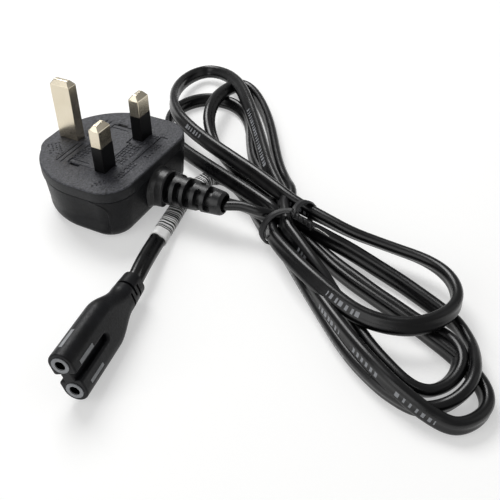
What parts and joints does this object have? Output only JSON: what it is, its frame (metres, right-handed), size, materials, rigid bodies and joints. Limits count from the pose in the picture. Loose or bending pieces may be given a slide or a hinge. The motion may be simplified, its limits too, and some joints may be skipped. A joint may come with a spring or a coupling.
{
  "type": "mains lead with figure-eight power connector",
  "caption": "Flat twin mains lead, hanked and tied, with a figure-eight appliance connector at one end and a moulded fused plug with flat pins at the other.",
  "frame": {"origin": "middle of the plug's back, in the plane that the lead rests on", "axes": "+Z along the plug's pins, +Y from the cord to the earth pin, +X from the line pin to the neutral pin"},
  "size_m": [0.1802, 0.1685, 0.0427],
  "materials": {
    "hard_black": "fine grained moulded nylon",
    "soft_black": "matt moulded PVC",
    "relief_black": "semi-gloss moulded PVC",
    "pin_metal": "nickel plated",
    "fuse_ceramic": "unglazed",
    "cap_metal": "nickel plated",
    "clip_brass": "bare spring brass",
    "insert_grey": "moulded",
    "cord_pvc": "extruded PVC",
    "tie_plastic": "coated wire",
    "label_paper": "printed label"
  },
  "bodies": {
    "lead": {"plug_face": "hard_black", "plug_cover": "soft_black", "earth_pin": "pin_metal", "line_pin": "pin_metal", "neutral_pin": "pin_metal", "line_pin_sleeve": "hard_black", "neutral_pin_sleeve": "hard_black", "fuse_clip_line": "clip_brass", "fuse_clip_load": "clip_brass", "plug_strain_relief": "relief_black", "connector_cover": "soft_black", "connector_insert": "insert_grey", "contact_upper": "clip_brass", "contact_lower": "clip_brass", "cord_plug_stretch": "cord_pvc", "cord_connector_stretch": "cord_pvc", "cord_hank": "cord_pvc", "hank_tie": "tie_plastic", "cord_label": "label_paper"},
    "fuse_holder": {"fuse_carrier": "hard_black", "fuse_tube": "fuse_ceramic", "fuse_cap_line": "cap_metal", "fuse_cap_load": "cap_metal"}
  },
  "joints": [
    {"name": "fuse_carrier_slide", "type": "slide", "parent": "lead", "child": "fuse_holder", "axis": [0, 0, 1], "range_m": [0, 0.016]}
  ]
}
